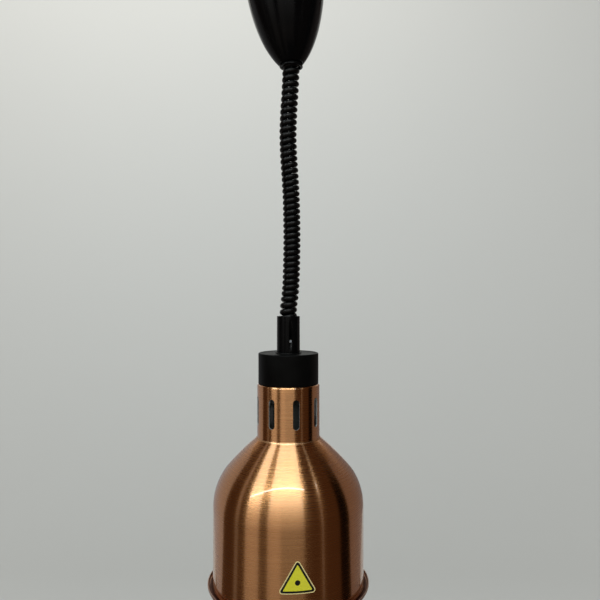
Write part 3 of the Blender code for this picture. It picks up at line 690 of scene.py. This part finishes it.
def cap():
    foot = NECK_TOP_Z + GAP
    under = CAP_TOP_Z - 0.0028
    outline = [
        ((TUBE_RADIUS + GAP, CAP_TOP_Z + 0.0007), 0.0003), ((0.0140, CAP_TOP_Z + 0.0007), 0.0005),
        ((0.0145, CAP_TOP_Z - 0.0004), 0.0003), ((0.0290, CAP_TOP_Z - 0.0004), 0.0005),
        ((0.0295, CAP_TOP_Z), 0.0003), ((CAP_RADIUS, CAP_TOP_Z), 0.0012),
        ((CAP_RADIUS, foot), 0.0003), ((CAP_RADIUS - CAP_WALL, foot), 0.0002),
        ((CAP_RADIUS - CAP_WALL, under), 0.0008), ((TUBE_RADIUS + GAP, under), 0),
    ]
    piece = add_piece("black_cap", moved(lathe(rounded(outline, 5), 128), AT_LAMP), [SATIN])
    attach(piece, "lamp")
    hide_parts("socket_cap")


canopy()
collar()
tube()
cap()


# The shade

def shade_middle():
    """The middle line of the shade's sheet, from the hole in its top down to the edge of its lip."""
    half = SHEET / 2
    neck = NECK_RADIUS - half
    top = NECK_TOP_Z - half
    round_off = 0.0015
    points = [(FLANGE_HOLE, top), *arc((neck - round_off, top - round_off), round_off, 90, 0, 8)]
    for step in range(1, 10):
        points.append((neck, top - round_off - (top - round_off - SHOULDER_Z - 0.002) * step / 10))
    turn = math.pi / 2 - SHOULDER_START
    for bend, steps in ((0.0030, 1), (0.0045, 8)):
        reach = bend * math.tan(turn / 2)
        corner = arc((neck + bend, SHOULDER_Z + reach), bend, 180, 180 + math.degrees(turn), steps)
        if steps == 1:
            x, z = corner[-1]  # where the CAD's tighter corner ends, and so where the shoulder's arc starts
    points += corner
    for radius, first, last, steps in (
        (SHOULDER_ARC, SHOULDER_START, SHOULDER_END, 12), (SIDE_ARC, SHOULDER_END, math.pi / 2, 28),
    ):
        centre = (x - radius * math.sin(first), z - radius * math.cos(first))
        points += arc(centre, radius, 90 - math.degrees(first), 90 - math.degrees(last), steps)[1:]
        x, z = points[-1]
    side, last_z = points[-1]
    for step in range(1, 12):
        points.append((side, last_z + (SHADE_FOOT_Z - last_z) * step / 12))
    points += arc((side + LIP_BEND, SHADE_FOOT_Z), LIP_BEND, 180, 360, 20)
    points.append((side + 2 * LIP_BEND, SHADE_FOOT_Z + LIP_RISE - 0.0004))
    return points


def slot_tool(name, azimuth):
    """An obround bar that cuts one slot, from the axis outwards."""
    bm = bmesh.new()
    half = SLOT_WIDTH / 2
    straight = SLOT_HEIGHT / 2 - half
    ring = []
    for end in (1, -1):
        for step in range(17):
            angle = math.pi * step / 16 + (0 if end > 0 else math.pi)
            height = half * math.sin(angle) + end * straight
            ring.append(bm.verts.new((half * math.cos(angle), -0.02, height)))
    face = bm.faces.new(ring)
    extruded = bmesh.ops.extrude_face_region(bm, geom=[face])["geom"]
    corners = [item for item in extruded if isinstance(item, bmesh.types.BMVert)]
    bmesh.ops.translate(bm, vec=(0, -0.02, 0), verts=corners)
    bmesh.ops.recalc_face_normals(bm, faces=bm.faces)
    moved(bm, Matrix.Translation((LAMP_X, 0, SLOT_MIDDLE_Z)) @ Matrix.Rotation(azimuth, 4, "Z"))
    return add_piece(name, bm, [])


def shade():
    outer, inner = two_sides(shade_middle(), SHEET)
    edge_out, edge_in = Vector(outer[-1]), Vector(inner[-1])
    centre = (edge_out + edge_in) / 2
    curl = []
    for step in range(1, 8):
        angle = math.pi * step / 8
        across = (edge_out - centre) * math.cos(angle)
        curl.append(tuple(centre + across + Vector((0, 0.0004 * math.sin(angle)))))
    bm = moved(lathe(outer + curl + inner[::-1], 256), AT_LAMP)
    piece = add_piece("copper_shade", bm, SHADE_FINISHES, 40)
    tools = [slot_tool(f"slot_{n + 1}", SLOT_FIRST + math.tau * n / SLOT_COUNT) for n in range(SLOT_COUNT)]
    cut(piece, tools)
    choose_finishes(piece)
    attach(piece, "lamp")
    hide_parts("shade")


SHADE_FINISHES = [COPPER, INSIDE, RAW_EDGE, LIP, GUTTER_SHADE, BEND_HIGHLIGHT]


def choose_finishes(piece):
    """Bare inside, raw slot edges, a duller lip with a painted reflection, painted shade in the gutter above
    it, and a painted highlight on the bend below the neck.
    """
    for face in piece.data.polygons:
        x, y, z = face.center
        outward = Vector((x - LAMP_X, y, 0))
        inward = face.normal.dot(outward.normalized()) < -0.3 or face.normal.z < -0.9
        beside_side = outward.length < SIDE_RADIUS - 0.0003
        through_sheet = abs(outward.length - NECK_RADIUS + SHEET / 2) < 0.45 * SHEET
        bare = inward and beside_side and z > SHADE_FOOT_Z - 0.002
        finish = INSIDE if bare else COPPER
        if through_sheet and abs(z - SLOT_MIDDLE_Z) < 0.016:
            finish = RAW_EDGE
        if outward.length > SIDE_RADIUS + 0.0002 and z < SHADE_FOOT_Z + 0.002:
            # Upward faces inside the lip's curl take painted shade.
            shaded_gutter_face = face.normal.z > 0.1 and outward.length < SIDE_RADIUS + 0.0034
            # The rest of the lip takes the paler copper, its tone a painted reflection.
            finish = GUTTER_SHADE if shaded_gutter_face else LIP
        # A painted highlight along the bend below the neck.
        if abs(z - SHOULDER_Z) < 0.0008 and not inward:
            finish = BEND_HIGHLIGHT
        face.material_index = SHADE_FINISHES.index(finish)
    piece.data.shade_smooth()
    piece.data.set_sharp_from_angle(angle=math.radians(40))


def rounded_triangle(inset, corner, steps=8):
    """A triangle with rounded corners, counter-clockwise, base down, its middle at half its height."""
    half = LABEL_WIDTH / 2
    low, high = -LABEL_HEIGHT / 2, LABEL_HEIGHT / 2
    # Sharp corners that a circle of radius corner, drawn inside them, rounds off to the label's size
    slope = math.atan2(high - low, half)
    top = Vector((0, high + corner * (1 / math.cos(slope) - 1)))
    rest = corner / math.tan(slope / 2) - corner
    right = Vector((half + rest, low))
    left = Vector((-half - rest, low))
    centre = (top + right + left) / 3
    corners = [left, right, top]
    made = []
    lines = []
    for a, b in zip(corners, corners[1:] + corners[:1]):
        along = (b - a).normalized()
        inward = Vector((-along.y, along.x))
        lines.append((a + inward * (inset + corner_left(corner, inset)), along))
    middles = []
    for index in range(3):
        p, u = lines[index - 1]
        q, v = lines[index]
        t = ((q - p).x * v.y - (q - p).y * v.x) / (u.x * v.y - u.y * v.x)
        middles.append(p + u * t)
    radius = corner_left(corner, inset)
    for index in range(3):
        before = lines[index - 1][1]
        start = math.atan2(-before.x, before.y)
        after = lines[index][1]
        end = math.atan2(-after.x, after.y)
        while end < start:
            end += math.tau
        for step in range(steps + 1):
            angle = start + (end - start) * step / steps
            made.append(middles[index] + Vector((math.cos(angle), math.sin(angle))) * radius)
    return made, centre


def corner_left(corner, inset):
    """The radius that a corner keeps after the outline has moved inwards."""
    return max(corner - inset, 0.0004)


def label():
    """A thin vinyl triangle bent round the side: pale edge, black border, yellow field, one plain dot."""
    radius = SIDE_RADIUS + 0.0001
    cream = vinyl("label_cream", (0.84, 0.66, 0.28))
    black = vinyl("label_black", (0.006, 0.006, 0.005))
    yellow = vinyl("label_field", (0.78, 0.70, 0.03))
    bm = bmesh.new()
    levels = [(0.0, 0.0, 0), (0.00005, 0.00016, 0), (0.0010, 0.0002, 1), (0.0030, 0.0002, 2)]
    rings = []
    centre = None
    for inset, reach, _ in levels:
        outline, centre = rounded_triangle(inset, LABEL_CORNER)
        dense = spread(outline, 180)
        rings.append([bm.verts.new(on_side(p, radius + reach)) for p in dense])
    for number, (here, there) in enumerate(zip(rings, rings[1:])):
        for index in range(len(here)):
            after = (index + 1) % len(here)
            face = bm.faces.new((here[index], here[after], there[after], there[index]))
            face.material_index = levels[number][2]
    fill_field(bm, rings[-1], radius + 0.0002, centre)
    bmesh.ops.remove_doubles(bm, verts=bm.verts, dist=1e-8)
    bmesh.ops.recalc_face_normals(bm, faces=bm.faces)
    moved(bm, Matrix.Translation((LAMP_X, 0, LABEL_MIDDLE_Z)))
    piece = add_piece("triangle_label", bm, [cream, black, yellow], 50)
    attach(piece, "lamp")
    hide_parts("label")


def spread(outline, count):
    """The closed outline resampled to points at even distances."""
    closed = [*outline, outline[0]]
    lengths = np.array([0.0] + [(b - a).length for a, b in zip(closed, closed[1:])]).cumsum()
    at = np.linspace(0, lengths[-1], count, endpoint=False)
    xs = np.interp(at, lengths, [p.x for p in closed])
    ys = np.interp(at, lengths, [p.y for p in closed])
    return [Vector((float(x), float(y))) for x, y in zip(xs, ys)]


def on_side(point, radius):
    """A point of the flat label, wrapped round the shade's side at a radius."""
    angle = LABEL_AZIMUTH + point.x / radius
    return (radius * math.sin(angle), -radius * math.cos(angle), point.y)


def fill_field(bm, ring, radius, centre):
    """The field inside the border: rings that shrink to a plain dot in the middle."""
    flat = []
    for vert in ring:
        angle = math.atan2(vert.co.x, -vert.co.y) - LABEL_AZIMUTH
        flat.append(Vector((angle * radius, vert.co.z)))
    middle = Vector((0, centre.y - 0.0006))
    before = ring
    steps = 6
    for step in range(1, steps + 1):
        share = step / steps
        now = []
        for point in flat:
            away = point - middle
            target = middle + away.normalized() * LABEL_DOT
            now.append(bm.verts.new(on_side(point.lerp(target, share), radius)))
        for index in range(len(now)):
            after = (index + 1) % len(now)
            face = bm.faces.new((before[index], before[after], now[after], now[index]))
            face.material_index = 2
        before = now
    hub = bm.verts.new(on_side(middle, radius))
    for index in range(len(before)):
        face = bm.faces.new((before[index], before[(index + 1) % len(before)], hub))
        face.material_index = 1


shade()
label()


# The bulb

def bulb():
    envelope = [(0.0114, -0.5282), (0.0114, -0.5370)] + smooth_curve(
        [
            (0.0135, -0.5420), (0.0180, -0.5520), (0.0210, -0.5650), (0.0300, -0.5850), (0.0440, -0.6070),
            (0.0560, -0.6260), (0.0612, -0.6400), (BULB_RADIUS - 0.0005, -0.6510), (0.0605, -0.6610),
            (0.0530, -0.6695), (0.0370, -0.6752), (0.0190, -0.6775), (0, BULB_FACE_Z + 0.0005),
        ], 6,
    )
    outer, inner = two_sides(envelope, 0.0010)
    bm = moved(lathe(outer + inner[::-1], 128), AT_LAMP)
    for face in bm.faces:
        face.material_index = 0 if face.calc_center_median().z < -0.6510 else 1
    piece = add_piece("reflector_glass", bm, [FROSTED, SILVERED])
    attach(piece, "bulb")
    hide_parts("bulb_glass")


bulb()


# Finishes for the CAD nodes that show as they are

BY_SLOT = {
    "zinc_steel": STEEL, "spring_steel": BLUED, "nylon": NYLON, "black_plastic": PLASTIC, "flex_black": FLEX,
    "brass": BRASS, "canopy_black": GLOSS, "cap_black": SATIN, "copper_finish": COPPER,
    "porcelain": PORCELAIN, "label_yellow": NYLON, "bulb_glass": CLEAR, "aluminium": ALUMINIUM,
    "tungsten": TUNGSTEN,
}
for subpart in frame["record"]["subparts"]:
    node = frame["nodes"][subpart["node"]]
    node.data.materials.clear()
    node.data.materials.append(BY_SLOT[subpart["material_slot"]])


# Stage and light

def backdrop():
    """A pale floor that isn't mirrored, and a pale wall that is."""
    made = Finish("pale_paint", (0.575, 0.573, 0.548), 0.0, 0.8)
    made.rough(made.ramp(made.noise(3, 3.0), 0.3, 0.7, 0.75, 0.9))
    floor, wall, bend, wide, near, tall = -2.6, 2.4, 0.8, 2.0, -1.6, 2.2
    flat = [(near, floor), (wall - bend, floor)]
    upright = []
    for step in range(13):
        angle = math.pi / 2 * step / 12
        upright.append((wall - bend + bend * math.sin(angle), floor + bend - bend * math.cos(angle)))
    upright.append((wall, tall))
    for name, section in (("floor", flat), ("wall", upright)):
        bm = bmesh.new()
        rows = [[bm.verts.new((x, y, z)) for x in (-wide, wide)] for y, z in section]
        for here, there in zip(rows, rows[1:]):
            bm.faces.new((here[0], here[1], there[1], there[0]))
        piece = add_piece(name, bm, [made.material])
        piece.visible_glossy = name == "wall"


def glow(name, stops, strength, colour):
    """An even light that follows the height seen from the shade: stops are (elevation, share, coolness)."""
    material = bpy.data.materials.new(name)
    material.use_nodes = True
    tree = material.node_tree
    tree.nodes.clear()
    place = tree.nodes.new("ShaderNodeTexCoord")
    parts = tree.nodes.new("ShaderNodeSeparateXYZ")
    tree.links.new(place.outputs["Object"], parts.inputs[0])
    share = tree.nodes.new("ShaderNodeMapRange")
    share.inputs["From Min"].default_value = -1.0
    share.inputs["From Max"].default_value = 1.0
    tree.links.new(parts.outputs[2], share.inputs["Value"])
    ramp = tree.nodes.new("ShaderNodeValToRGB")
    tree.links.new(share.outputs["Result"], ramp.inputs["Fac"])
    while len(ramp.color_ramp.elements) > 1:
        ramp.color_ramp.elements.remove(ramp.color_ramp.elements[-1])
    for index, (elevation, level, cool) in enumerate(stops):
        position = (math.sin(math.radians(elevation)) + 1) / 2
        if index == 0:
            element = ramp.color_ramp.elements[0]
            element.position = position
        else:
            element = ramp.color_ramp.elements.new(position)
        red, green, blue = colour
        element.color = (level * red, level * green * (1 + 0.27 * cool), level * blue * (1 + 0.5 * cool), 1)
    emission = tree.nodes.new("ShaderNodeEmission")
    emission.inputs["Strength"].default_value = strength
    tree.links.new(ramp.outputs["Color"], emission.inputs["Color"])
    output = tree.nodes.new("ShaderNodeOutputMaterial")
    tree.links.new(emission.outputs[0], output.inputs["Surface"])
    return material


LIGHT_REACH = 2.0
NEAR_REACH = 1.92
LIGHT_CENTRE = (LAMP_X, 0, -0.56)
VIEW_DROP = 0.956  # cosine of how far down the camera looks at the shade


def mirrored(facing, around):
    """Where a surface that faces an azimuth from the front mirrors the camera's line, tipped by an angle."""
    f, p = math.radians(facing), math.radians(around)
    along = Vector((math.cos(f), math.sin(f), 0))
    outward = Vector((math.sin(f), -math.cos(f), 0))
    share = VIEW_DROP * math.sin(f)
    across = math.sqrt(1 - share ** 2)
    return along * share + (outward * math.cos(p) + Vector((0, 0, 1)) * math.sin(p)) * across


def softbox(
    name, left, right, low, high, stops, strength=1.0, colour=(1.0, 0.97, 0.93), diffuse=True, sag=0.0,
):
    """A curved sheet of light that the shade shows between two azimuths of its own surface.

    Its ends sink by sag times the square of the azimuth, both in degrees. One that sags stands nearer,
    in front of the others.
    """
    bm = bmesh.new()
    columns = max(2, int((right - left) / 2))
    levels = max(2, int((high - low) / 4))
    rows = []
    for level in range(levels + 1):
        around = low + (high - low) * level / levels
        row = []
        for column in range(columns + 1):
            facing = left + (right - left) * column / columns
            row.append(bm.verts.new(mirrored(facing, around - sag * facing ** 2)))
        rows.append(row)
    for here, there in zip(rows, rows[1:]):
        for column in range(columns):
            bm.faces.new((here[column], there[column], there[column + 1], here[column + 1]))
    piece = add_piece(name, bm, [glow(name + "_light", stops, strength, colour)])
    piece.location = LIGHT_CENTRE
    reach = NEAR_REACH if sag else LIGHT_REACH
    piece.scale = (reach, reach, reach)
    piece.visible_camera = False
    piece.visible_shadow = False
    piece.visible_diffuse = diffuse


def wall_light():
    """A wide lamp above that brightens the wall's top."""
    data = bpy.data.lights.new("wall_light", "AREA")
    data.shape = "RECTANGLE"
    data.size = 3.0
    data.size_y = 0.6
    data.energy = 40
    data.color = (1.0, 0.99, 0.96)
    light = bpy.data.objects.new("wall_light", data)
    light.location = (-0.8, 0.6, 2.1)
    light.rotation_euler = (math.radians(48), 0, 0)
    light.visible_camera = False
    light.visible_glossy = False
    bpy.context.collection.objects.link(light)


def room():
    """Pale where the camera sees past the backdrop and for soft light, dim where it is mirrored."""
    world = bpy.data.worlds.new("room")
    world.use_nodes = True
    world.cycles.sampling_method = "NONE"
    bpy.context.scene.world = world
    tree = world.node_tree
    pale = tree.nodes["Background"]
    pale.inputs["Color"].default_value = (1.0, 1.0, 0.98, 1)
    pale.inputs["Strength"].default_value = 0.72
    dim = tree.nodes.new("ShaderNodeBackground")
    dim.inputs["Color"].default_value = (1.0, 0.60, 0.36, 1)
    dim.inputs["Strength"].default_value = 0.05
    path = tree.nodes.new("ShaderNodeLightPath")
    mix = tree.nodes.new("ShaderNodeMixShader")
    tree.links.new(path.outputs["Is Glossy Ray"], mix.inputs[0])
    tree.links.new(pale.outputs[0], mix.inputs[1])
    tree.links.new(dim.outputs[0], mix.inputs[2])
    tree.links.new(mix.outputs[0], tree.nodes["World Output"].inputs["Surface"])


backdrop()
room()
wall_light()
# Each stop is (elevation, brightness, coolness)
CEILING = [
    (-50, 0.055, 0), (-26, 0.072, 0), (-12, 0.35, 0), (0, 0.255, 0.3), (14, 0.68, 0.6),
    (30, 1.40, 1), (88, 1.55, 1),
]
CEILING_LEFT = [
    (-50, 0.15, 0), (-26, 0.24, 0), (-12, 0.44, 0), (0, 0.37, 0.3), (14, 0.78, 0.6),
    (30, 1.40, 1), (88, 1.55, 1),
]
SIDE = [(-60, 0.26, 0.1), (60, 0.26, 0.1)]
NEUTRAL = (1.0, 0.98, 0.98)
ROSY = (1.0, 0.84, 0.78)
softbox("front_light", -5, 11.9, -55, 100, CEILING)
softbox("front_left_light", -14.2, -5, -55, 100, CEILING_LEFT)
softbox("left_light", -31.4, -20.6, -55, 95, CEILING_LEFT)
softbox(
    "left_glow", -40.8, -37.6, -55, 90, [(-50, 0.13, 0), (-20, 0.16, 0), (50, 0.35, 0), (80, 0.5, 0)],
    diffuse=False,
)
softbox(
    "right_line", 24.6, 26.2, -55, 90,
    [(-50, 0.08, 0), (-20, 0.18, 0), (30, 0.35, 0), (43, 1.2, 1), (47, 3.0, 1), (52, 0.4, 1), (86, 0.25, 1)],
    diffuse=False,
)
softbox("black_flag", 40.2, 49.6, -55, 60, [(-60, 0.0, 0), (60, 0.004, 0)], diffuse=False)
softbox("left_side", -89, -53.5, -60, 60, SIDE, 1.1, NEUTRAL, diffuse=False)
softbox("right_side", 50.0, 89, -60, 60, SIDE, 0.62, ROSY, diffuse=False)
softbox("far_line", -31, 14, 52.0, 55.0, [(-60, 1.0, 1), (60, 1.0, 1)], 12.0, diffuse=False, sag=0.026)

bpy.context.scene.view_settings.view_transform = "Standard"
